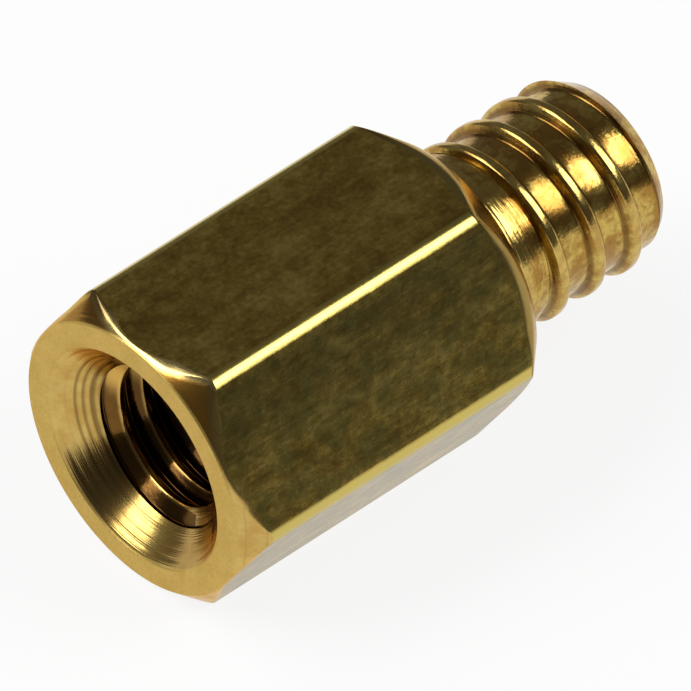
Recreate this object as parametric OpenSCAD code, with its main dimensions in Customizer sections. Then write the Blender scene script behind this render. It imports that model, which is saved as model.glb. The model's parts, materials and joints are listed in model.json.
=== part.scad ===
// Jack screw: a short hexagonal brass body with a tapped hole in one end and a
// threaded stud on the other, turned from one length of drawn hexagon bar.
// It lies on one flat of the hexagon. The axis runs along X: the mouth of the
// tapped hole faces -X and the stud points to +X. The origin is the middle of
// the shoulder, where the stud leaves the body. All sizes are in millimetres.

/* [Hexagon body] */
// Width across two opposite flats
across_flats = 5.0; // [4.8:0.1:7]
// Length of the hexagon, from the mouth face to the shoulder
body_length = 6.7; // [6.3:0.1:9]
// Radius on the six long corners of the drawn bar
corner_radius = 0.3; // [0.06:0.01:0.5]
// How far inside the flats the mouth end's chamfer starts
mouth_chamfer_inset = 0.05; // [0.03:0.01:0.12]
// Slope of the mouth end's chamfer, from the end face
mouth_chamfer_angle = 48; // [40:1:55]
// How far inside the flats the shoulder end's chamfer starts
shoulder_chamfer_inset = 0.21; // [0.1:0.01:0.3]
// Slope of the shoulder end's chamfer, from the shoulder
shoulder_chamfer_angle = 47; // [40:1:55]

/* [Tapped hole] */
// Diameter of the drilled hole
drill_diameter = 2.5; // [2.4:0.02:2.6]
// Depth of the drilled wall, from the mouth face
drill_depth = 5.3; // [5.2:0.1:5.4]
// Angle of the drill's point
drill_point_angle = 118; // [110:1:140]
// Diameter of the countersink at the mouth face
sink_diameter = 4.06; // [3.9:0.02:4.2]
// Full angle of the countersink
sink_angle = 90; // [80:1:100]
// Depth of the inner thread, from the mouth face
tapped_depth = 4.1; // [3.6:0.1:4.2]
// Diameter at the bottom of the inner thread's grooves
tap_diameter = 3.04; // [2.96:0.02:3.1]
// Distance from crest to crest of the inner thread
tap_pitch = 0.5; // [0.45:0.01:0.55]
// Angle around the axis, from straight up, where the inner thread's groove meets the mouth face
tap_start = 120; // [0:5:355]
// Length of the inner thread's tapered end, where the tap's lead stopped
tap_lead = 0.8; // [0.6:0.1:1.2]

/* [Stud] */
// Length of the stud, from the shoulder to its tip
stud_length = 3.6; // [3.2:0.1:6]
// Diameter over the stud's thread
stud_diameter = 3.41; // [3.35:0.01:3.48]
// Diameter at the bottom of the stud's thread
stud_root_diameter = 3.08; // [2.9:0.02:3.2]
// Length of the plain shank beside the shoulder
shank_length = 0.4; // [0.3:0.05:0.6]
// How much thicker than the thread the plain shank is
shank_step = 0.03; // [0.02:0.01:0.06]
// Length over which the thread's groove runs out towards the shank
runout_length = 0.6; // [0.4:0.05:1]
// Diameter of the flat end face at the tip
tip_diameter = 2.85; // [2.7:0.05:3]
// Length of the tip's chamfer
tip_chamfer = 0.46; // [0.3:0.02:0.6]
// Angle around the axis, from straight up, where the crest of the stud's thread would meet the shoulder
stud_start = 265; // [0:5:355]

// Distance from crest to crest of the stud's thread
stud_pitch = 0.794; // [0.7:0.001:0.8]

/* [Threads] */
// Straight steps in one turn of a thread
thread_steps = 32; // [24:2:40]

/* [Hidden] */
$fn = 96;
corner_steps = 4;                                  // straight steps round one corner of the bar
flat_r = across_flats / 2;
outer_r = across_flats / sqrt(3) + 1;              // clear of the hexagon's corners
mouth_rim_r = flat_r - mouth_chamfer_inset;
shoulder_rim_r = flat_r - shoulder_chamfer_inset;
drill_r = drill_diameter / 2;
stud_r = stud_diameter / 2;
shank_r = stud_r + shank_step / 2;
sink_depth = (sink_diameter / 2 - drill_r) / tan(sink_angle / 2);
core_r = (drill_r + 0.02) / cos(180 / thread_steps); // the tap's core clears the drilled wall at every step
stud_crest_flat = stud_pitch / 5;                  // width of a crest of the stud's thread
stud_root_flat = stud_pitch * 0.56;                // width at the bottom of its groove
tap_crest_flat = tap_pitch / 5;                    // width of a crest of the inner thread
tap_root_flat = tap_pitch / 8;                     // width at the bottom of its groove
lead_end = 0.15;                                   // how far past its full core the tap's cone reaches

// brass, as it looks from a step away
brass = [0.71, 0.58, 0.32];

// The section of the drawn bar: a hexagon with a flat at the top and one at
// the bottom, and a small radius on every corner.
module bar_section() {
    reach = (flat_r - corner_radius) / cos(30);
    polygon([for (k = [0:5], s = [0:corner_steps])
        let (a = 60 * k, b = a - 30 + 60 * s / corner_steps)
        [reach * cos(a) + corner_radius * cos(b), reach * sin(a) + corner_radius * sin(b)]]);
}

// The hexagon, its corners turned off to a cone at each end.
module hexagon() {
    mouth_slope = tan(mouth_chamfer_angle);
    shoulder_slope = tan(shoulder_chamfer_angle);
    intersection() {
        translate([-body_length, 0, 0]) rotate([0, 90, 0]) rotate([0, 0, 90])
            linear_extrude(body_length) bar_section();
        rotate([0, 90, 0]) rotate_extrude()
            polygon([
                [0, -body_length], [mouth_rim_r, -body_length],
                [outer_r, -body_length + (outer_r - mouth_rim_r) * mouth_slope],
                [outer_r, -(outer_r - shoulder_rim_r) * shoulder_slope],
                [shoulder_rim_r, 0], [0, 0]]);
    }
}

// A right-hand thread about Z. It fills the heights from bottom to top, and
// ends up to one turn outside them. A crest's middle passes height 0 at the
// angle start. high and low give the radius of the crests and of the grooves
// at each height, so a groove can run out.
module helix(bottom, top, start, pitch, top_flat, bottom_flat, high, low) {
    n = thread_steps;
    rise = [-top_flat / 2, top_flat / 2, pitch / 2 - bottom_flat / 2, pitch / 2 + bottom_flat / 2];
    turns = ceil((top - bottom) / pitch) + 1;
    base = top - pitch * turns;
    last = 4 * turns;
    function height(i, j) = base + pitch * floor(i / 4) + rise[i % 4] + pitch * j / n;
    function radius(i, z) = lookup(z, i % 4 < 2 ? high : low);
    side = [for (i = [0:last], j = [0:n - 1])
        let (z = height(i, j), r = radius(i, z), a = start + 360 * (base / pitch + j / n))
        [r * cos(a), r * sin(a), z]];
    under = len(side);
    over = under + 1;
    // One turn on, a row joins the row four above it.
    function at(i, j) = j < n ? i * n + j : (i + 4) * n;
    quads = [for (i = [0:last - 1], j = [0:n - 1]) if (j < n - 1 || i + 5 <= last)
        [at(i, j), at(i, j + 1), at(i + 1, j + 1), at(i + 1, j)]];
    foot = concat([for (j = [0:n - 1]) j], [for (i = [4:-1:1]) i * n]);
    crown = concat([for (i = [last - 4:last]) i * n + n - 1], [for (j = [n - 2:-1:0]) last * n + j]);
    polyhedron(
        points = concat(side, [[0, 0, height(2, 0)], [0, 0, height(last - 2, n - 1)]]),
        faces = concat(
            [for (q = quads) each [[q[0], q[2], q[1]], [q[0], q[3], q[2]]]],
            [for (k = [0:len(foot) - 1]) [under, foot[k], foot[(k + 1) % len(foot)]]],
            [for (k = [0:len(crown) - 1]) [over, crown[k], crown[(k + 1) % len(crown)]]]),
        convexity = 10);
}

// The stud: a plain shank at the shoulder, then the thread, with a cone on the
// tip. The groove runs out towards the shank.
module stud() {
    rotate([0, 90, 0]) {
        translate([0, 0, -0.5]) cylinder(h = shank_length + 0.5, r = shank_r);
        intersection() {
            helix(-stud_pitch, stud_length + stud_pitch, stud_start + 180,
                stud_pitch, stud_crest_flat, stud_root_flat,
                [[0, stud_r]],
                [[shank_length, stud_r], [shank_length + runout_length, stud_root_diameter / 2]]);
            rotate_extrude() polygon([
                [0, -0.3], [stud_r + 0.4, -0.3],
                [stud_r + 0.4, stud_length - tip_chamfer
                    - 0.4 * tip_chamfer / (stud_r - tip_diameter / 2)],
                [tip_diameter / 2, stud_length], [0, stud_length]]);
        }
    }
}

// What the drill and the countersink take out.
module drilled() {
    sink_r = sink_diameter / 2;
    point = drill_r / tan(drill_point_angle / 2);
    translate([-body_length, 0, 0]) rotate([0, 90, 0]) rotate_extrude()
        polygon([
            [0, -0.5], [sink_r + 0.5 * tan(sink_angle / 2), -0.5],
            [drill_r, sink_depth], [drill_r, drill_depth], [0, drill_depth + point]]);
}

// What the tap takes out: its last turns are a tapered lead, which ends
// inside the drilled wall.
module tapped() {
    tap_r = tap_diameter / 2;
    lead = [[tapped_depth, core_r], [tapped_depth + lead_end, drill_r - 0.05]];
    translate([-body_length, 0, 0]) rotate([0, 90, 0])
        helix(-tap_pitch / 2, tapped_depth + lead_end, tap_start + 180,
            tap_pitch, tap_root_flat, tap_crest_flat,
            concat([[tapped_depth - tap_lead, tap_r]], lead), lead);
}

module jack_screw() {
    color(brass) difference() {
        union() {
            hexagon();
            stud();
        }
        drilled();
        tapped();
    }
}

jack_screw();
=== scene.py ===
# %% [markdown]
# # A brass jack screw
# A jack screw is a small hexagonal post that holds a connector to a panel. One
# end has a tapped hole, which takes a screw; the other is a threaded stud. It is
# turned from drawn hexagon bar, so its six flats are the skin of the bar, and
# everything else was cut on a lathe.
#
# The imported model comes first. It fixes the place and the size of everything.

# %% The frame
import json
import math
import bmesh
import bpy
from mathutils import Matrix, Vector

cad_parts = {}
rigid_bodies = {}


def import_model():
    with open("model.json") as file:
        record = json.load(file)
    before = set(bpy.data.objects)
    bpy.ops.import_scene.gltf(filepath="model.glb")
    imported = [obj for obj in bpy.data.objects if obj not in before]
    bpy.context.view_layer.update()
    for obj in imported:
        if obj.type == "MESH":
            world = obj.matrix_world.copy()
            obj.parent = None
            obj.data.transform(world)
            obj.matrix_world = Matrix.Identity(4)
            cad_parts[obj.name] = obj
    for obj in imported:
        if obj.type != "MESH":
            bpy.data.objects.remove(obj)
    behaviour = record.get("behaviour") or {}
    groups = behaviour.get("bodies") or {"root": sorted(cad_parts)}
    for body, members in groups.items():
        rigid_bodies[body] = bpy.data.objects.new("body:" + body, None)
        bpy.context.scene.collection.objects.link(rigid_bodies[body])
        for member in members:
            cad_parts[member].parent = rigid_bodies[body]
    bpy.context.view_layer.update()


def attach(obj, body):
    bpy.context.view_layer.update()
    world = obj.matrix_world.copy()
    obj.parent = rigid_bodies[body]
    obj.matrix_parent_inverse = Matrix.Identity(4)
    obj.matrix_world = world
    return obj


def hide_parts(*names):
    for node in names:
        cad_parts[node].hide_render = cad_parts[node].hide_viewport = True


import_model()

# %% [markdown]
# ## Sizes
# The part is ten millimetres long. Blender's mesh tools merge and cut with
# distances that suit bigger things, so every shape is made in millimetres and
# shrunk to metres in the last step. The X axis is the axis of the screw, and 0
# is the shoulder, where the stud leaves the hexagon.

# %% Sizes in millimetres
across_flats, body_length = 5.0, 6.7
corner_radius, edge_soft = 0.3, 0.34
mouth_rim, mouth_angle = 2.45, 48
shoulder_rim, shoulder_angle = 2.29, 47
drill_radius, drill_depth, drill_point = 1.25, 5.3, 118
sink_radius = 2.03
tapped_depth, tap_radius, tap_start, tap_pitch, tap_lead = 4.1, 1.52, 120, 0.5, 0.8
stud_length, stud_radius, stud_root = 3.6, 1.705, 1.54
shank_length, shank_radius, runout = 0.4, 1.72, 0.6
tip_radius, tip_chamfer, stud_start, stud_pitch = 1.425, 0.46, 265, 0.794
mouth, flat_radius = -body_length, across_flats / 2
print("mouth at", mouth, "mm, tip at", stud_length, "mm, flats at", flat_radius, "mm from the axis")

# %% [markdown]
# ## The lathe
# Every turned surface is a profile swept round the axis. A profile is a chain of
# edges that starts and ends on the axis, and **spin** sweeps it. The corners of
# a profile are rounded first with **bevel** on its points, because no tool leaves
# a perfectly sharp edge, and light shows the difference.

# %% A chain of edges, and a turned solid from it
turned_steps, rounding_steps = 192, 3
same_point, sliver = 1e-5, 1e-6  # millimetres within which points merge and faces vanish


def chain(bm, points):
    verts = [bm.verts.new((x, 0, r)) for x, r in points]
    for a, b in zip(verts, verts[1:]):
        bm.edges.new((a, b))
    return verts


def round_off(bm, vert, radius):
    bmesh.ops.bevel(bm, geom=[vert], offset=radius, offset_type="OFFSET", segments=rounding_steps,
                    profile=0.5, material=-1, affect="VERTICES", clamp_overlap=True)


def as_piece(bm, name):
    mesh = bpy.data.meshes.new(name)
    bm.to_mesh(mesh)
    bm.free()
    piece = bpy.data.objects.new(name, mesh)
    bpy.context.scene.collection.objects.link(piece)
    return piece


def turned(name, points, rounds=()):
    bm = bmesh.new()
    verts = chain(bm, points)
    for index, radius in rounds:
        round_off(bm, verts[index], radius)
    bmesh.ops.spin(bm, geom=bm.verts[:] + bm.edges[:], cent=(0, 0, 0), axis=(1, 0, 0),
                   angle=math.tau, steps=turned_steps, use_merge=True)
    bmesh.ops.remove_doubles(bm, verts=bm.verts[:], dist=same_point)
    bmesh.ops.dissolve_degenerate(bm, edges=bm.edges[:], dist=sliver)
    bmesh.ops.recalc_face_normals(bm, faces=bm.faces[:])
    print(name, len(bm.faces), "faces")
    return as_piece(bm, name)


# %% [markdown]
# ## The screw thread
# A thread is the same idea with a slide added: the profile of one pitch climbs by
# one pitch for every turn. **spin** takes that climb as dvec, the step it adds
# after each small rotation. The turns then touch exactly, merging their doubled
# points makes one skin, and a cut with **bisect_plane** at each end, filled, makes
# it a solid rod.

# %% A threaded rod
turn_steps, turn_touch = 96, 1e-4


def threaded_rod(name, start, end, pitch, crest, root, crest_flat, root_flat, start_angle, soften):
    bm = bmesh.new()
    first = start - 2 * pitch
    verts = chain(bm, [
        (first, root), (first + root_flat / 2, root),
        (first + pitch / 2 - crest_flat / 2, crest), (first + pitch / 2 + crest_flat / 2, crest),
        (first + pitch - root_flat / 2, root), (first + pitch, root)])
    for vert, radius in zip(verts[1:5], soften):
        round_off(bm, vert, radius)
    turns = math.ceil((end - start) / pitch) + 4
    angle = start_angle + 360 * (first + pitch / 2) / pitch
    bmesh.ops.rotate(bm, verts=bm.verts[:], cent=(0, 0, 0),
                     matrix=Matrix.Rotation(math.radians(angle), 3, "X"))
    bmesh.ops.spin(bm, geom=bm.verts[:] + bm.edges[:], cent=(0, 0, 0), axis=(1, 0, 0),
                   dvec=(pitch / turn_steps, 0, 0), angle=math.tau * turns,
                   steps=turn_steps * turns, use_merge=False)
    bmesh.ops.remove_doubles(bm, verts=bm.verts[:], dist=turn_touch)
    for x, way in ((start, -1), (end, 1)):
        cut = bmesh.ops.bisect_plane(bm, geom=bm.verts[:] + bm.edges[:] + bm.faces[:], dist=sliver,
                                     plane_co=(x, 0, 0), plane_no=(way, 0, 0), clear_outer=True)
        rim = [g for g in cut["geom_cut"] if isinstance(g, bmesh.types.BMEdge)]
        bmesh.ops.contextual_create(bm, geom=rim)
    bmesh.ops.recalc_face_normals(bm, faces=bm.faces[:])
    open_edges = sum(1 for e in bm.edges if len(e.link_faces) != 2)
    print(name, len(bm.faces), "faces,", open_edges, "open edges")
    return as_piece(bm, name)


# %% [markdown]
# ## Cutting and joining
# The **Boolean** modifier does what the lathe, the drill and the tap did. Each cut
# is applied at once, and its tool is thrown away.

# %% Apply a Boolean modifier
def combine(piece, tool, how):
    cut = piece.modifiers.new(how, "BOOLEAN")
    cut.operation, cut.object, cut.solver = how, tool, "EXACT"
    mesh = bpy.data.meshes.new_from_object(piece.evaluated_get(bpy.context.evaluated_depsgraph_get()))
    piece.modifiers.clear()
    old, piece.data = piece.data, mesh
    bpy.data.meshes.remove(old)
    bpy.data.objects.remove(tool)
    print(how.lower(), "->", len(mesh.polygons), "faces")
    return piece


# %% [markdown]
# ## The body
# A hexagonal prism with its ends cut by cones is the plain way to make the body.
# But a bevel on the curved edges that this leaves would meet itself where the cone
# is only a sliver wide. So the body is spun as a round post first, with a row of
# points for every edge that has to be soft, and each column of points is then moved
# to its own place on the hexagon. The columns crowd together at the six long
# corners, which are rounded to about a third of a millimetre on drawn bar.

# %% Where each column stands
columns_per_side, columns_per_corner = 40, 8


def column_place(index):
    side, step = divmod(index + columns_per_corner // 2, columns_per_side)
    corner = (flat_radius - corner_radius) / math.cos(math.radians(30))
    if step <= columns_per_corner:  # round the corner between the last flat and this one
        lean = math.radians(-60 + 60 * step / columns_per_corner)
        spot = Vector((-corner * 0.5, corner * math.cos(math.radians(30))))
        spot += Vector((math.sin(lean), math.cos(lean))) * corner_radius
    else:
        share = (step - columns_per_corner) / (columns_per_side - columns_per_corner)
        spot = Vector((corner * (share - 0.5), flat_radius))
    return Matrix.Rotation(math.radians(-60 * side), 2) @ spot


# %% [markdown]
# ## The profile of one column
# The drilled hole, its countersink and the plain shank are turned, so they belong
# to the same profile as the outside. A column near a long corner of the hexagon
# stands further out, so its cones are longer and its soft edges get smaller, which
# keeps the six corners crisp. The shank keeps three shallow marks of the tool.

# %% Soft corners, tool marks and the profile
def soft_corner(start, corner, end, radius, count):
    a, b = (start - corner).normalized(), (end - corner).normalized()
    half = a.angle(b) / 2
    reach = radius / math.tan(half)
    centre = corner + (a + b).normalized() * (radius / math.sin(half))
    first, last = (corner + a * reach - centre).normalized(), (corner + b * reach - centre).normalized()
    return [centre + radius * first.slerp(last, i / (count - 1)) for i in range(count)]


def row_of(*points):
    return [Vector(point) for point in points]


sink_round, mouth_round, shoulder_round, lip_round = 0.025, 0.03, 0.03, 0.02
corner_from, corner_over, corner_share = 2.62, 0.16, 0.75  # where soft edges shrink, and by how much
plain_from = 1.0                                           # no soft edge reaches this far from an end
drill_point_length = drill_radius / math.tan(math.radians(drill_point / 2))
mark_depths = ((0.05, 0), (0.08, 0.022), (0.11, 0), (0.17, 0), (0.20, 0.02), (0.23, 0),
               (0.28, 0), (0.305, 0.018), (0.33, 0))
tool_marks = row_of(*[(x, shank_radius - deep) for x, deep in mark_depths])


def room_for(rim, edge):
    """The largest rounding that leaves some of the cone between its rim and its edge."""
    return 1.8 * (edge - rim).length - 0.05


def column_profile(radius):
    up_mouth, up_shoulder = math.tan(math.radians(mouth_angle)), math.tan(math.radians(shoulder_angle))
    wall = Vector((mouth + sink_radius - drill_radius, drill_radius))
    sink_edge = Vector((mouth, sink_radius))
    rim_a, rim_b = Vector((mouth, mouth_rim)), Vector((0, shoulder_rim))
    edge_a = Vector((mouth + (radius - mouth_rim) * up_mouth, radius))
    edge_b = Vector((-(radius - shoulder_rim) * up_shoulder, radius))
    soft = edge_soft * (1 - corner_share * min(max((radius - corner_from) / corner_over, 0), 1))
    soft_a, soft_b = (min(soft, room_for(*cone)) for cone in ((rim_a, edge_a), (rim_b, edge_b)))
    root, lip = Vector((0, shank_radius)), Vector((shank_length, shank_radius))
    middle = Vector((shank_length, 0))
    return (row_of((mouth + drill_depth + drill_point_length, 0), (mouth + drill_depth, drill_radius), wall)
            + soft_corner(wall, sink_edge, rim_a, sink_round, 3)
            + soft_corner(sink_edge, rim_a, edge_a, mouth_round, 4)
            + soft_corner(rim_a, edge_a, edge_b, soft_a, 6)
            + row_of((mouth + plain_from, radius), (-plain_from, radius))
            + soft_corner(edge_a, edge_b, rim_b, soft_b, 6)
            + soft_corner(edge_b, rim_b, root, shoulder_round, 4) + [root]
            + tool_marks + soft_corner(root, lip, middle, lip_round, 3) + [middle])


print("each column has", len(column_profile(flat_radius)), "points")

# %% [markdown]
# ## Spin the post and move its columns
# Each point remembers its row in a custom layer of the bmesh, because spin hands
# the layer on to every copy. Its column follows from its angle. The two points on
# the axis stay where they are.

# %% The body and the shank
post_radius = 2.6
bm = bmesh.new()
row_layer = bm.verts.layers.int.new("row")
profile = chain(bm, column_profile(post_radius))
for row, vert in enumerate(profile):
    vert[row_layer] = row
last_row = len(profile) - 1
columns = 6 * columns_per_side
bmesh.ops.spin(bm, geom=bm.verts[:] + bm.edges[:], cent=(0, 0, 0), axis=(1, 0, 0),
               angle=math.tau, steps=columns, use_merge=True)
for vert in bm.verts:
    if vert[row_layer] in (0, last_row):
        continue
    angle = math.degrees(math.atan2(vert.co.y, vert.co.z)) % 360
    spot = column_place(round(angle / 360 * columns) % columns)
    x, radius = column_profile(spot.length)[vert[row_layer]]
    vert.co = (x, spot.normalized().x * radius, spot.normalized().y * radius)
bmesh.ops.remove_doubles(bm, verts=bm.verts[:], dist=same_point)
bmesh.ops.recalc_face_normals(bm, faces=bm.faces[:])
print("body:", len(bm.faces), "faces,", sum(1 for e in bm.edges if len(e.link_faces) != 2), "open edges,",
      round(bm.calc_volume(), 2), "mm3")
screw = as_piece(bm, "screw")

# %% [markdown]
# ## The stud
# The stud is a threaded rod whose foot stands inside the shank. The die that cuts
# the thread can't reach the shoulder, so its groove gets shallower and ends in the
# shank. A smooth cone would show no light there. The real groove is a stair, cut by
# the die's first teeth one after another, so a turned stair is joined to the rod
# and fills its groove step by step. A turned cone at the tip trims the last crest.

# %% The threaded rod
sunk, spare = 0.12, 0.3  # how deep the foot stands in the shank, and what a cut trims off
crest_flat, root_flat = stud_pitch / 5, stud_pitch * 0.58
crest_round, root_round = 0.035, 0.02
foot, run_end = shank_length - sunk, shank_length + runout
rod = threaded_rod("rod", foot, stud_length + spare, stud_pitch, stud_radius, stud_root,
                   crest_flat, root_flat, stud_start, (root_round, crest_round, crest_round, root_round))

# %% The stair in the run-out
stair_count, stair_step, stair_tread, stair_drop, stair_lean = 6, 0.09, 0.068, 0.028, 0.004
stair_start, stair_top = 0.04, stud_radius + 0.001
proud, below = 0.003, 0.004  # so far over the crests and under the groove, so no skins touch
fill_core, nose = 1.2, 0.1
stair = []
for step in range(stair_count):
    left, high = shank_length + stair_step * step + stair_start, stair_top - stair_drop * step
    stair += [(left, high), (left + stair_tread, high - stair_lean)]
fill = turned("fill", [(foot - sunk / 2, 0), (foot - sunk / 2, fill_core),
                       (foot + sunk / 2, stud_radius + proud), (shank_length, stud_radius + proud)]
              + stair + [(run_end, stud_root - below), (run_end + nose, 0)])
stud = combine(rod, fill, "UNION")

# %% The chamfered tip
slope, tip_round = tip_chamfer / (stud_radius - tip_radius), 0.05
tip = turned("tip", [(foot - 0.2, 0), (foot - 0.2, stud_radius + spare),
                     (stud_length - tip_chamfer - spare * slope, stud_radius + spare),
                     (stud_length, tip_radius), (stud_length, 0)], rounds=[(3, tip_round)])
stud = combine(stud, tip, "INTERSECT")
screw = combine(screw, stud, "UNION")

# %% [markdown]
# ## The tapped hole
# The hole's thread could be a spun groove too, but a real tap cuts it, and a cut
# ends cleanly by itself at the countersink. The tap is a second threaded rod whose
# last turns are trimmed to a cone, as the lead of a real tap is. Its core is a hair
# wider than the drilled hole, so the cut leaves no skin behind.

# %% Tap
tap_core, tap_end = drill_radius + 0.02, mouth + tapped_depth + 0.15
tap_crest_flat, tap_root_flat = tap_pitch / 8, tap_pitch / 5
tap_crest_round, tap_root_round = 0.02, 0.025
start_angle = tap_start + 360 * body_length / tap_pitch
tap = threaded_rod("tap", mouth - spare, tap_end, tap_pitch, tap_radius, tap_core,
                   tap_crest_flat, tap_root_flat, start_angle,
                   (tap_root_round, tap_crest_round, tap_crest_round, tap_root_round))
lead = turned("lead", [(mouth - spare - 0.05, 0), (mouth - spare - 0.05, 2),
                       (mouth + tapped_depth - tap_lead, tap_radius + 0.002),
                       (mouth + tapped_depth, tap_core), (tap_end, drill_radius - 0.05), (tap_end + 0.01, 0)])
tap = combine(tap, lead, "INTERSECT")
screw = combine(screw, tap, "DIFFERENCE")

# %% [markdown]
# ## One skin, four finishes
# The Booleans leave a few slivers, which are merged away. Then each face is given
# to a finish by where it is: the flats keep the skin of the drawn bar, the ends are
# freshly turned, the stud's thread is burnished by the die, and the hole is dark
# and oily inside.

# %% Which finish a face gets
DRAWN, TURNED, THREADED, BORE = range(4)


def finish_of(face):
    middle = face.calc_center_median()
    radius = math.hypot(middle.y, middle.z)
    behind_sink = middle.x - mouth > sink_radius - radius + 0.012
    if middle.x < -0.001 and radius < sink_radius - 0.01 and behind_sink:
        return BORE
    if middle.x > 0.001 and radius < shank_radius + 0.03:
        return THREADED
    return DRAWN if abs(face.normal.x) < 0.05 and radius > shoulder_rim + 0.01 else TURNED


# %% Clean the mesh and sort its faces
seam, sharp_over = 2e-4, math.radians(28)
bm = bmesh.new()
bm.from_mesh(screw.data)
bmesh.ops.remove_doubles(bm, verts=bm.verts[:], dist=seam)
bmesh.ops.dissolve_degenerate(bm, edges=bm.edges[:], dist=seam)
for face in bm.faces:
    face.material_index = finish_of(face)
    face.smooth = True
for edge in bm.edges:
    edge.smooth = len(edge.link_faces) == 2 and edge.calc_face_angle(0) < sharp_over
print("screw:", len(bm.faces), "faces,", sum(1 for e in bm.edges if len(e.link_faces) != 2), "open edges,",
      round(bm.calc_volume(), 2), "mm3")
bmesh.ops.scale(bm, vec=(0.001, 0.001, 0.001), verts=bm.verts[:])
bm.to_mesh(screw.data)
bm.free()

# %% [markdown]
# ## It stands for the plain solid
# The finished mesh takes the place of the plain solid and has its size and origin.
# Nothing on it moves, so it rides on the root. Smooth shading would bend the light
# on a large flat beside a small rounded edge. Flat shading would show every facet of
# the round parts, so the **Weighted Normal** modifier lets the larger face win.

# %% Replace the plain solid
screw.name = "brass_jack_screw"
soft = screw.modifiers.new("weighted normals", "WEIGHTED_NORMAL")
soft.mode, soft.weight, soft.keep_sharp = "FACE_AREA", 60, True
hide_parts("jack_screw")
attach(screw, "root")
print(screw.name, "stands for jack_screw")

# %% [markdown]
# ## Writing shader maths as Python
# Each finish is a recipe of noise, distances and mixes. It could be laid out by hand
# in the shader editor, but a line of Python is easier to read than thirty boxes. So
# a small class wraps a socket and lets ordinary operators add the Math nodes.

# %% A socket that does sums
class Wire:
    def __init__(self, tree, socket):
        self.tree, self.socket = tree, socket

    def math(self, operation, a, b=None, clamp=False):
        node = self.tree.nodes.new("ShaderNodeMath")
        node.operation, node.use_clamp = operation, clamp
        for slot, value in zip(node.inputs, (a, b)):
            if isinstance(value, Wire):
                self.tree.links.new(value.socket, slot)
            elif value is not None:
                slot.default_value = value
        return Wire(self.tree, node.outputs[0])

    def __add__(self, other): return self.math("ADD", self, other)
    def __radd__(self, other): return self.math("ADD", other, self)
    def __sub__(self, other): return self.math("SUBTRACT", self, other)
    def __rsub__(self, other): return self.math("SUBTRACT", other, self)
    def __mul__(self, other): return self.math("MULTIPLY", self, other)
    def __rmul__(self, other): return self.math("MULTIPLY", other, self)
    def __truediv__(self, other): return self.math("DIVIDE", self, other)
    def clamped(self): return self.math("ADD", self, 0.0, clamp=True)
    def root(self): return self.math("SQRT", self)
    def size(self): return self.math("ABSOLUTE", self)
    def fraction(self): return self.math("FRACT", self)
    def larger(self, other): return self.math("MAXIMUM", self, other)
    def angle_from(self, other): return self.math("ARCTAN2", self, other)

    def between(self, low, high):
        """0 below low, 1 above high, and a soft step between them."""
        node = self.tree.nodes.new("ShaderNodeMapRange")
        node.interpolation_type = "SMOOTHSTEP"
        self.tree.links.new(self.socket, node.inputs["Value"])
        node.inputs["From Min"].default_value, node.inputs["From Max"].default_value = low, high
        return Wire(self.tree, node.outputs["Result"])


# %% [markdown]
# ## What the four finishes share
# They are one metal, so they share a class: a metallic Principled shader, the point
# on the part in millimetres, and helpers for noise and for mixing colours. Brass
# seen at a slant is paler where it is clean and browner where it is stained, and
# the constant **Specular Tint** sets that for each finish. The marks are a **Bump**
# and no real dents, because they are only some thousandths of a millimetre deep.

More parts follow.
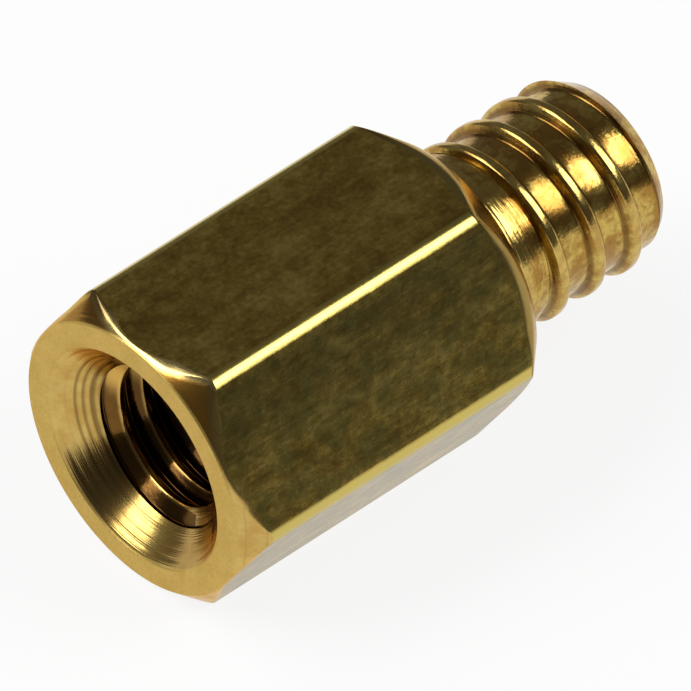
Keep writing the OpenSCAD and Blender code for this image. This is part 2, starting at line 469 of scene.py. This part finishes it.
# %% One metal finish
class Finish:
    """A material, its Principled shader and the point on the part, in millimetres."""
    def __init__(self, name, look_colour, at_a_slant=(1, 1, 1)):
        self.material = bpy.data.materials.new(name)
        self.material.use_nodes = True
        self.material.diffuse_color = (*look_colour, 1)
        self.tree = self.material.node_tree
        self.shader = self.tree.nodes["Principled BSDF"]
        self.shader.inputs["Metallic"].default_value = 1.0
        self.shader.inputs["Specular Tint"].default_value = (*at_a_slant, 1)
        place = self.node("ShaderNodeTexCoord").outputs["Object"]
        scaled = self.node("ShaderNodeVectorMath", {"operation": "SCALE"}, {0: place, "Scale": 1000.0})
        parts = self.node("ShaderNodeSeparateXYZ", {}, {0: scaled.outputs[0]}).outputs
        self.x, self.y, self.z = (Wire(self.tree, part) for part in parts)
        self.radius = (self.y * self.y + self.z * self.z).root()
        self.place = self.x, self.y, self.z, self.radius

    def node(self, kind, settings=None, values=None):
        made = self.tree.nodes.new(kind)
        for key, value in (settings or {}).items():
            if key == "stops":
                for stop, (spot, colour) in zip(made.color_ramp.elements, value):
                    stop.position, stop.color = spot, (*colour, 1)
                for spot, colour in value[2:]:
                    made.color_ramp.elements.new(spot).color = (*colour, 1)
            else:
                setattr(made, key, value)
        for key, value in (values or {}).items():
            if isinstance(value, Wire):
                value = value.socket
            if isinstance(value, bpy.types.NodeSocket):
                self.tree.links.new(value, made.inputs[key])
            else:
                made.inputs[key].default_value = value
        return made

    def noise(self, x, y, z, detail, roughness=0.5):
        spot = self.node("ShaderNodeCombineXYZ", {}, {0: x, 1: y, 2: z}).outputs[0]
        made = self.node("ShaderNodeTexNoise", {}, {"Vector": spot, "Scale": 1.0, "Detail": detail,
                                                    "Roughness": roughness})
        return Wire(self.tree, made.outputs[0])

    def round_noise(self, scale, detail, roughness):
        return self.noise(self.x * scale, self.y * scale, self.z * scale, detail, roughness)

    def towards(self, side):
        """How far the point lies towards a side of the axis, given as a direction in Y and Z."""
        return self.y * side[0] + self.z * side[1]

    def blend(self, share, first, second):
        made = self.node("ShaderNodeMix", {"data_type": "RGBA"}, {"Factor": share})
        for slot, value in ((6, first), (7, second)):
            if isinstance(value, Wire):
                self.tree.links.new(value.socket, made.inputs[slot])
            else:
                made.inputs[slot].default_value = (*value, 1)
        return Wire(self.tree, made.outputs[2])

    def wear(self, colour, roughness, height, depth):
        """Plug in colour and roughness, and a height in millimetres times depth."""
        for name, value in (("Base Color", colour), ("Roughness", roughness)):
            self.tree.links.new(value.socket, self.shader.inputs[name])
        bump = self.node("ShaderNodeBump", {}, {"Strength": 1.0, "Distance": depth / 1000, "Height": height})
        self.tree.links.new(bump.outputs[0], self.shader.inputs["Normal"])
        screw.data.materials.append(self.material)
        print(self.material.name, "uses", len(self.tree.nodes), "nodes")


# %% [markdown]
# ## The skin of the drawn bar
# Drawing pulls the bar through a die, which leaves fine lines along its length, and
# the skin then tarnishes in soft brown blotches. A painted picture could show that,
# but it would have to be unwrapped and would blur close up. Noise needs neither: the
# lines are noise stretched along X, the blotches are rounder noise at several sizes,
# and a **colour ramp** turns their sum into browns.

# %% Drawn flats: lines and blotches
drawn = Finish("drawn brass", (0.42, 0.3, 0.1))
x, y, z, radius = drawn.place
lines = drawn.noise(x * 0.35, y * 14, z * 14, 3.0, 0.6)
broad = drawn.noise(x * 0.3, y * 3, z * 3, 2.0, 0.5)
cloud = drawn.noise(x * 1.1, y * 1.3, z * 1.3, 3.0, 0.6)
patch = drawn.noise(x * 4, y * 5, z * 5, 3.0, 0.6)
speck = drawn.noise(x * 11, y * 12, z * 12, 2.0, 0.6)
tone = (cloud * 0.35 + patch * 0.35 + speck * 0.3 + broad * 0.2 + lines * 0.1 - 0.15).clamped()
dark_skin, brown_skin, pale_skin = (0.26, 0.155, 0.03), (0.39, 0.26, 0.054), (0.56, 0.395, 0.1)
skin = drawn.node("ShaderNodeValToRGB",
                  {"stops": [(0.38, dark_skin), (0.62, pale_skin), (0.5, brown_skin)]}, {0: tone})
skin = Wire(drawn.tree, skin.outputs[0])

# %% [markdown]
# ## Green sides and bright corners
# The flats at the sides are greener than the top one. They are also darker the higher
# they reach, which is a painted reflection: lower down a side flat mirrors more of the
# white floor. Handling has polished the six long corners. These zones could be painted
# by hand, but the height and the distance from the axis already tell them apart.

# %% Drawn flats: tarnish and handling
green, painted_reflection_shade, polished = (0.18, 0.165, 0.045), (0.12, 0.10, 0.03), (0.62, 0.49, 0.13)
side_on = 1 - z.between(2.2, 2.45)
tarnish = drawn.noise(x * 2.2 + 7, y * 3.1, z * 3.1, 3.0, 0.65).between(0.3, 0.7)
skin = drawn.blend(tarnish * (0.15 + 0.6 * side_on), skin, green)
# painted reflection: the side flats darken as they rise, where less of the floor is mirrored
skin = drawn.blend(z.between(0.4, 2.6) * side_on * 0.66, skin, painted_reflection_shade)
handled = radius.between(2.806, 2.83)
skin = drawn.blend(handled * 0.9, skin, polished)
drawn.wear(skin, 0.18 + 0.12 * patch + 0.05 * lines - 0.05 * handled,
           (lines * 0.2 + patch * 0.7 + speck * 0.25 + broad * 0.6) * (1 - 0.85 * handled), 0.005)

# %% [markdown]
# ## Turned ends
# A lathe tool leaves rings. On the flat ends and the cones they are circles round
# the axis. They could be cut into the mesh, but noise that reads only the distance
# from the axis draws them without a single extra face. Round noise lays a haze and
# a fine sand over them.

# %% Turned brass: rings and haze
turned_brass = Finish("turned brass", (0.68, 0.5, 0.2), (1, 0.82, 0.6))
x, y, z, radius = turned_brass.place
rings = turned_brass.noise(radius * 13, x * 2, 0.0, 2.0, 0.6)
fine_rings = turned_brass.noise(radius * 40, x * 4, 3.0, 2.0, 0.5)
haze = turned_brass.round_noise(2.2, 4.0, 0.65)
sand = turned_brass.round_noise(16, 2.0, 0.6)
fresh, amber, ring_brown = (0.60, 0.42, 0.125), (0.50, 0.31, 0.08), (0.34, 0.2, 0.05)
warm = turned_brass.blend(haze.between(0.35, 0.7), fresh, amber)
warm = turned_brass.blend(rings.between(0.52, 0.72) * 0.45, warm, ring_brown)

# %% [markdown]
# ## Stains on the cones
# Where a cone meets a flat its edge is clean. On top that edge is given a pale colour
# where a lamp's glint runs along it, a painted highlight, dimmer towards +Y. Further
# from the flats, at the corners, the cone is wide and keeps a brown stain. Six masks
# could tell the two apart. But the hexagon is the same on all sides, so the larger
# of two distances does it.

# %% Turned brass: the cones
cos_30, sin_30 = 0.866, 0.5
copper, umber = (0.74, 0.36, 0.06), (0.26, 0.12, 0.025)
painted_glint_edge, painted_glint_dim = (0.70, 0.53, 0.2), (0.26, 0.18, 0.07)
from_side = y.size() * cos_30 + z.size() * sin_30
near_flat = from_side.larger(z.size()).between(2.38, 2.46)
stained = z.between(0.5, 1.5) * radius.between(2.42, 2.5) * (1 - near_flat)
brown = turned_brass.blend(y.between(-1.2, 1.2), copper, umber)
warm = turned_brass.blend(stained * (0.8 + 0.5 * (haze - 0.4)), warm, brown)
# painted highlight: a pale edge on top where the glint falls, dimmer towards +Y
painted_glint = turned_brass.blend(y.between(0.3, 1.1), painted_glint_edge, painted_glint_dim)
warm = turned_brass.blend(near_flat * z.between(2.3, 2.45), warm, painted_glint)

# %% [markdown]
# ## The countersink
# The funnel at the mouth has caught some oil and dust. For someone who looks into it,
# its inner edge and some of its rings are dark on the left, which is that oil together
# with painted shade, and the low side and the right side are darkened as painted shade.
# One dark ring would be simpler, but the shade in a funnel is not even, so each mask
# looks along a direction of its own.

# %% Turned brass: the countersink
left_wall, right_wall, low_wall = (0.8, 0.6), (-0.799, -0.602), (0.602, -0.799)
oil_and_shade, low_shade_brown, right_shade_brown = (0.07, 0.033, 0.01), (0.22, 0.13, 0.045), (0.30, 0.19, 0.075)
near_mouth = 1 - (x + 5).between(0, 0.5)
left_side = turned_brass.towards(left_wall).between(-0.7, 0.2)
grooves = turned_brass.noise(radius * 11, 0.0, 5.0, 0.0).between(0.45, 0.6) * 0.6
inner = (1 - radius.between(1.36, 1.46)) * 0.95
inner = inner.larger(grooves * (1 - radius.between(1.72, 1.92)))
# oil and painted shade: the inner edge and some rings darkened on the left
warm = turned_brass.blend(inner * left_side * near_mouth, warm, oil_and_shade)
low_shade = (turned_brass.towards(low_wall) - radius * 0.9).between(0.0, 0.16)
low_shade = low_shade * (1 - radius.between(2.0, 2.06)) * near_mouth
# painted shade: the low side of the funnel darkened
warm = turned_brass.blend(low_shade * (0.4 + 0.5 * haze), warm, low_shade_brown)
right_shade = (turned_brass.towards(right_wall) - radius * 0.8).between(0.0, 0.25)
right_shade = right_shade * (1 - radius.between(2.0, 2.04)) * near_mouth
# painted shade: the right side of the funnel dulled
warm = turned_brass.blend(right_shade * (0.35 + 0.5 * haze), warm, right_shade_brown)

# %% [markdown]
# ## The end faces
# The flat ring round the mouth was rubbed in use, so it is paler and duller than the
# cones, and the rubbing has taken its rings away. The shoulder end is browner. Two
# more materials could do this, but then a hard line would part them. A soft step on
# the distance along the axis has none.

# %% Turned brass: the end faces
pale_face, tan_face, shoulder_brown = (0.60, 0.42, 0.12), (0.52, 0.35, 0.09), (0.22, 0.16, 0.05)
rubbed = 1 - (x - mouth).between(0.012, 0.05)
pale = turned_brass.blend((sand * 0.5 + haze * 0.5).between(0.35, 0.65), pale_face, tan_face)
warm = turned_brass.blend(rubbed, warm, pale)
far_end = (x + 0.75).between(0.0, 0.1)
warm = turned_brass.blend(far_end * 0.75, warm, shoulder_brown)
ring_marks = (rings * 1.1 + fine_rings * 0.4) * (1 - 0.8 * rubbed) * (1 - near_flat)
turned_brass.wear(warm, 0.12 + 0.09 * haze + 0.18 * rubbed + 0.06 * fine_rings,
                  ring_marks + sand * 0.12 * rubbed, 0.009)

# %% [markdown]
# ## The stud's thread
# The die presses and cuts the thread, which leaves it shiny, with brown stains where
# cutting oil dried. Its fine lines follow the groove. Rings would cross the groove
# at a slant, so the pattern reads a place that climbs with the angle instead.

# %% Burnished thread: lines and stains
thread_brass = Finish("threaded brass", (0.6, 0.42, 0.14), (1, 0.97, 0.9))
x, y, z, radius = thread_brass.place
turn = y.angle_from(z) / math.tau
climb = x + turn * stud_pitch
hair = thread_brass.noise(climb * 16, radius * 16, 0.0, 2.0, 0.6)
stain = thread_brass.round_noise(2.4, 4.0, 0.65)
spots = thread_brass.round_noise(8, 3.0, 0.65)
clean_gold, oil_brown, spot_brown = (0.58, 0.41, 0.103), (0.36, 0.195, 0.04), (0.22, 0.11, 0.026)
gold = thread_brass.blend(stain.between(0.38, 0.6), clean_gold, oil_brown)
gold = thread_brass.blend(spots.between(0.52, 0.7) * 0.6, gold, spot_brown)

# %% [markdown]
# ## Crests and corners of the thread
# Use wipes the crests, so they are paler. The corners of the groove are darker, partly
# from dirt and partly as painted shade that dims the glint of their rounding. The
# distance from the axis finds the crests. A corner is harder to find, but counted in
# turns of the thread it is always at the same fraction, so the same climbing place
# finds it. In the run-out the groove has no corners and is not darkened.

# %% Burnished thread: crests and corners
crest_gold, dirt_and_shade = (0.66, 0.47, 0.15), (0.13, 0.06, 0.014)
crest = radius.between(1.66, 1.70)
gold = thread_brass.blend(crest * 0.35, gold, crest_gold)
phase = climb / stud_pitch + (stud_start / 360 + 0.5)
from_crest = (phase.fraction() - 0.5).size()
corner = from_crest.between(0.13, 0.18) * (1 - from_crest.between(0.21, 0.28)) * x.between(0.9, 1.1)
# dirt and painted shade: the groove's corners darkened, which dims their glint
gold = thread_brass.blend(corner * 0.75, gold, dirt_and_shade)
beside = 1 - x.between(0.6, 1.1)
thread_brass.wear(gold, 0.11 + 0.09 * stain + 0.05 * hair,
                  hair * (0.5 + 0.8 * beside) + spots * 0.5 + stain * 0.9, 0.006)

# %% [markdown]
# ## Inside the hole
# The threads of the hole are darker with depth, which is painted shade together with
# some cutting oil and dust. The crests of its thread are wiped by every screw, and the
# groove's bottom is painted darkest, as shade. One dark colour would hide the thread,
# so each part of it gets its own, found by its distance from the axis.

# %% Dark bore: depth, crests and grooves
bore_brass = Finish("bore brass", (0.4, 0.27, 0.09), (1, 0.9, 0.7))
x, y, z, radius = bore_brass.place
hole_brown, deep_shade_brown, crest_wipe = (0.31, 0.155, 0.028), (0.07, 0.035, 0.012), (0.6, 0.4, 0.12)
groove_shade_black, low_shade_black = (0.06, 0.03, 0.01), (0.05, 0.025, 0.008)
deep = (x - mouth).between(0.3, 1.8)
grime = bore_brass.round_noise(3, 3.0, 0.6)
# painted shade with some oil and dust: the hole darker with depth
hole = bore_brass.blend(deep, hole_brown, deep_shade_brown)
low = 1 - bore_brass.towards(left_wall).between(-1.1, 0.1)
edge = 1 - radius.between(1.28, 1.33)
hole = bore_brass.blend(edge * (0.9 - 0.7 * deep), hole, crest_wipe)
bottom = radius.between(1.46, 1.5)
# painted shade: the groove's bottom darkest
hole = bore_brass.blend(bottom * 0.85, hole, groove_shade_black)
# painted shade with grime: the side away from the lit wall darkened
hole = bore_brass.blend(low * (1 - 0.7 * edge) * (0.5 + 0.6 * grime), hole, low_shade_black)

# %% [markdown]
# ## The lit and the dark side of the hole
# Light falls through the mouth on the left wall, and a pool of gold light is painted on
# its flanks, while painted shade darkens the low wall. Moving the lamps could do this
# too, but would change everything outside, so only the metal in the hole is made warmer
# and darker.

# %% Dark bore: the two walls
lit_wall = (0.799, 0.602)
under_shade_black, painted_light_gold, grime_brown = (0.05, 0.022, 0.008), (0.95, 0.6, 0.15), (0.08, 0.04, 0.015)
shaded_under = bore_brass.towards(low_wall).between(0.4, 1.0)
# painted shade: the low wall darkened, apart from the crests
hole = bore_brass.blend(shaded_under * (1 - edge) * 0.5, hole, under_shade_black)
lit = bore_brass.towards(lit_wall).between(0.6, 1.2) * (1 - shaded_under) * (1 - bottom) * (1 - 0.4 * deep)
# painted light: a pool of gold on the lit wall
hole = bore_brass.blend(lit * 0.9, hole, painted_light_gold)
hole = bore_brass.blend(grime.between(0.48, 0.75) * 0.4, hole, grime_brown)
bore_brass.wear(hole, 0.09 + 0.08 * grime + 0.3 * lit, grime, 0.005)

# %% [markdown]
# ## The floor
# The part lies on white. Plain white paint turns grey away from the lamps, and a
# floor that only glows is evenly white but holds no shadow. So the two are mixed:
# for the camera and for reflections most of the floor glows, and the rest of it is
# paint, which keeps a faint shadow.

# %% Floor
lowest, floor_half, glow_share = -flat_radius / 1000, 3.0, 0.86
bm = bmesh.new()
bmesh.ops.create_grid(bm, x_segments=1, y_segments=1, size=floor_half)
bmesh.ops.translate(bm, verts=bm.verts[:], vec=(0, 0, lowest))
floor = as_piece(bm, "floor")
paint = bpy.data.materials.new("white floor")
paint.use_nodes = True
nodes, links = paint.node_tree.nodes, paint.node_tree.links
white = nodes["Principled BSDF"]
white.inputs["Base Color"].default_value = (0.93, 0.93, 0.93, 1)
white.inputs["Roughness"].default_value = 0.9
glow, both, path = (nodes.new("Shader" + kind) for kind in ("NodeEmission", "NodeMixShader", "NodeLightPath"))
rays = ("Is Camera Ray", "Is Glossy Ray", "Is Transmission Ray")
seen = sum((Wire(paint.node_tree, path.outputs[ray]) for ray in rays), 0.0)
share = seen.clamped() * glow_share
for socket, slot in ((share.socket, both.inputs[0]), (white.outputs[0], both.inputs[1]),
                     (glow.outputs[0], both.inputs[2]),
                     (both.outputs[0], nodes["Material Output"].inputs["Surface"])):
    links.new(socket, slot)
floor.data.materials.append(paint)
print("floor at", round(lowest * 1000, 3), "mm")

# %% [markdown]
# ## The room
# Metal shows what is round it, so the room matters as much as the lamps: the flats
# look dark because they mirror a dim room. A panorama could stand in for it, but a
# few sums on the direction are enough. The room is brighter towards +Y, and one
# darker patch, beyond the mouth and a little up, gives the mouth's cone something
# dark to mirror.

# %% Room
world = bpy.data.worlds.new("room")
bpy.context.scene.world = world
world.use_nodes = True
room = world.node_tree
toward = room.nodes.new("ShaderNodeTexCoord").outputs["Generated"]
split = room.nodes.new("ShaderNodeSeparateXYZ")
room.links.new(toward, split.inputs[0])
east, north, up = (Wire(room, output) for output in split.outputs)
dim_level, north_gain, gloom_loss = 0.085, 0.07, 0.3
gloom = (up * 0.39 - east * 0.87 - north * 0.3).between(0.8, 0.97)
level = (dim_level + north_gain * north.between(-0.3, 0.9)) * (1 - gloom_loss * gloom)
room.links.new(level.socket, room.nodes["Background"].inputs["Strength"])
room.nodes["Background"].inputs["Color"].default_value = (1, 1, 1, 1)
print("room level", dim_level, "to", round(dim_level + north_gain, 3))

# %% [markdown]
# ## The lamps
# Three soft lamps stand round the part, and an edge flashes where its curve sweeps
# past one of them. A point or a sun would make hard glints, so they are area lamps.
# The brightness is given for each bit of their surface and multiplied by the area,
# so a lamp can change its size and still look as bright in the metal.

# %% Soft lamps
def soft_lamp(name, toward, distance, size, radiance):
    light = bpy.data.lights.new(name, "AREA")
    light.shape, light.size, light.size_y = "RECTANGLE", size[0], size[1]
    light.energy = radiance * math.pi * size[0] * size[1]
    lamp = bpy.data.objects.new(name, light)
    bpy.context.scene.collection.objects.link(lamp)
    way = Vector(toward).normalized()
    lamp.matrix_world = Matrix.Translation(way * distance) @ way.to_track_quat("Z", "Y").to_matrix().to_4x4()
    lamp.visible_camera = False
    print(name, "lamp:", round(light.energy, 2), "W")


lamp_distance = 0.6
soft_lamp("key", (0.49, -0.52, 0.70), lamp_distance, (0.32, 0.32), 5.0)
soft_lamp("side", (-0.65, 0.36, 0.669), lamp_distance, (0.28, 0.44), 5.0)
soft_lamp("top", (-0.23, 0.571, 0.788), lamp_distance, (0.30, 0.26), 4.0)

# %% [markdown]
# ## The camera
# A long lens from far off keeps the hexagon's edges nearly parallel. An orthographic
# camera would make them exactly parallel and the part would look flat. The camera is
# placed by three directions, to its right, down and ahead, and by the point it
# looks at, so no angle has to be worked out.

# %% Camera
right, down = Vector((0.7360, -0.6770, 0.0076)), Vector((-0.4672, -0.5159, -0.7181))
look = Vector((0.49, 0.5249, -0.6959))
aim = Vector((-2.557, -0.527, 0.222)) / 1000
distance, frame_width, sensor = 0.4, 11.065 / 1000, 36
lens = bpy.data.cameras.new("camera")
lens.sensor_width, lens.lens = sensor, sensor * distance / frame_width
lens.clip_start, lens.clip_end = 0.01, 20
camera = bpy.data.objects.new("camera", lens)
bpy.context.scene.collection.objects.link(camera)
turn_to = Matrix((right.normalized(), -down.normalized(), -look.normalized())).transposed().to_4x4()
camera.matrix_world = Matrix.Translation(aim - look.normalized() * distance) @ turn_to
bpy.context.scene.camera = camera
bpy.context.scene.view_settings.view_transform = "Standard"
print("camera", distance, "m away, lens", round(lens.lens), "mm")
